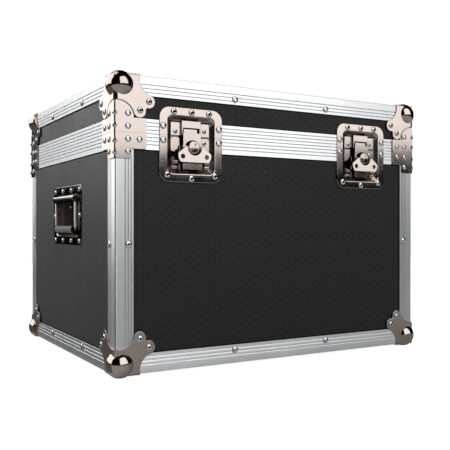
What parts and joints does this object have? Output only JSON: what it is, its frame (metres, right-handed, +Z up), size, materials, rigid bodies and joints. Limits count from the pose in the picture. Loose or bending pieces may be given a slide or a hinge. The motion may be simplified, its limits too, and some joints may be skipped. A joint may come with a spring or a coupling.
{
  "type": "transport trunk",
  "caption": "Black transport trunk with aluminium edging, ball corners, riveted corner braces, butterfly latches in dishes, recessed spring handles and a hinged lid.",
  "frame": {"origin": "centre of the bounding box's footprint at floor level, where the lower ball corners rest", "axes": "+X to the right along the long side seen from the front, -Y towards the latches at the front, +Z up"},
  "size_m": [0.617, 0.4984, 0.4604],
  "materials": {
    "black_laminate": "black laminate with a fine honeycomb texture",
    "satin_aluminium": "satin extruded edging with fine ribs",
    "polished_nickel": "polished nickel-plated pressed steel",
    "grey_rubber": "dark grey moulded rubber",
    "spring_steel": "plain drawn wire"
  },
  "bodies": {
    "base": {"ball_corner_bottom_back_left": "polished_nickel", "ball_corner_bottom_back_right": "polished_nickel", "ball_corner_bottom_front_left": "polished_nickel", "ball_corner_bottom_front_right": "polished_nickel", "corner_brace_base_back_left": "polished_nickel", "corner_brace_base_back_right": "polished_nickel", "corner_brace_base_front_left": "polished_nickel", "corner_brace_base_front_right": "polished_nickel", "edge_bottom": "satin_aluminium", "edge_upright_back_left": "satin_aluminium", "edge_upright_back_right": "satin_aluminium", "edge_upright_front_left": "satin_aluminium", "edge_upright_front_right": "satin_aluminium", "handle_dish_left": "polished_nickel", "handle_dish_right": "polished_nickel", "handle_spring_left": "spring_steel", "handle_spring_right": "spring_steel", "hinge_leaf_base_left": "polished_nickel", "hinge_leaf_base_right": "polished_nickel", "latch_channel_left": "polished_nickel", "latch_channel_right": "polished_nickel", "latch_dish_base_left": "polished_nickel", "latch_dish_base_right": "polished_nickel", "panel_back": "black_laminate", "panel_bottom": "black_laminate", "panel_front": "black_laminate", "panel_left": "black_laminate", "panel_right": "black_laminate", "rim_base": "satin_aluminium"},
    "lid": {"ball_corner_top_back_left": "polished_nickel", "ball_corner_top_back_right": "polished_nickel", "ball_corner_top_front_left": "polished_nickel", "ball_corner_top_front_right": "polished_nickel", "corner_brace_lid_back_left": "polished_nickel", "corner_brace_lid_back_right": "polished_nickel", "corner_brace_lid_front_left": "polished_nickel", "corner_brace_lid_front_right": "polished_nickel", "edge_top": "satin_aluminium", "hinge_leaf_lid_left": "polished_nickel", "hinge_leaf_lid_right": "polished_nickel", "latch_dish_lid_left": "polished_nickel", "latch_dish_lid_right": "polished_nickel", "latch_strike_left": "polished_nickel", "latch_strike_right": "polished_nickel", "lid_panel_back": "black_laminate", "lid_panel_front": "black_laminate", "lid_panel_left": "black_laminate", "lid_panel_right": "black_laminate", "lid_panel_top": "black_laminate", "rim_lid": "satin_aluminium"},
    "boss_left": {"latch_boss_left": "polished_nickel"},
    "wing_left": {"latch_wing_left": "polished_nickel"},
    "hook_left": {"latch_hook_left": "polished_nickel"},
    "handle_left": {"handle_bail_left": "polished_nickel", "handle_grip_left": "grey_rubber"},
    "boss_right": {"latch_boss_right": "polished_nickel"},
    "wing_right": {"latch_wing_right": "polished_nickel"},
    "hook_right": {"latch_hook_right": "polished_nickel"},
    "handle_right": {"handle_bail_right": "polished_nickel", "handle_grip_right": "grey_rubber"}
  },
  "joints": [
    {"name": "lid_hinge", "type": "hinge", "parent": "base", "child": "lid", "pos_m": [0, 0.24465, 0.3679], "axis": [-1, 0, 0], "range_deg": [0, 100]},
    {"name": "latch_turn_left", "type": "hinge", "parent": "base", "child": "boss_left", "pos_m": [-0.1732, -0.24545, 0.3495], "axis": [0, 1, 0], "range_deg": [0, 180]},
    {"name": "latch_wing_flip_left", "type": "hinge", "parent": "boss_left", "child": "wing_left", "pos_m": [-0.1732, -0.24545, 0.3495], "axis": [-1, 0, 0], "range_deg": [0, 88]},
    {"name": "latch_hook_slide_left", "type": "slide", "parent": "base", "child": "hook_left", "axis": [0, 0, 1], "range_m": [0, 0.008]},
    {"name": "handle_swing_left", "type": "hinge", "parent": "base", "child": "handle_left", "pos_m": [-0.3015, 0.00135, 0.2749], "axis": [0, 1, 0], "range_deg": [0, 90], "stiffness_Nm_per_rad": 0.15, "springref_deg": -28.65},
    {"name": "latch_turn_right", "type": "hinge", "parent": "base", "child": "boss_right", "pos_m": [0.1732, -0.24545, 0.3495], "axis": [0, 1, 0], "range_deg": [0, 180]},
    {"name": "latch_wing_flip_right", "type": "hinge", "parent": "boss_right", "child": "wing_right", "pos_m": [0.1732, -0.24545, 0.3495], "axis": [-1, 0, 0], "range_deg": [0, 88]},
    {"name": "latch_hook_slide_right", "type": "slide", "parent": "base", "child": "hook_right", "axis": [0, 0, 1], "range_m": [0, 0.008]},
    {"name": "handle_swing_right", "type": "hinge", "parent": "base", "child": "handle_right", "pos_m": [0.3015, 0.00135, 0.2749], "axis": [0, -1, 0], "range_deg": [0, 90], "stiffness_Nm_per_rad": 0.15, "springref_deg": -28.65}
  ],
  "couplings": [
    {"joint": "latch_hook_slide_left", "follows": "latch_turn_left", "m_per_rad": 0.0025465},
    {"joint": "latch_hook_slide_right", "follows": "latch_turn_right", "m_per_rad": 0.0025465}
  ]
}
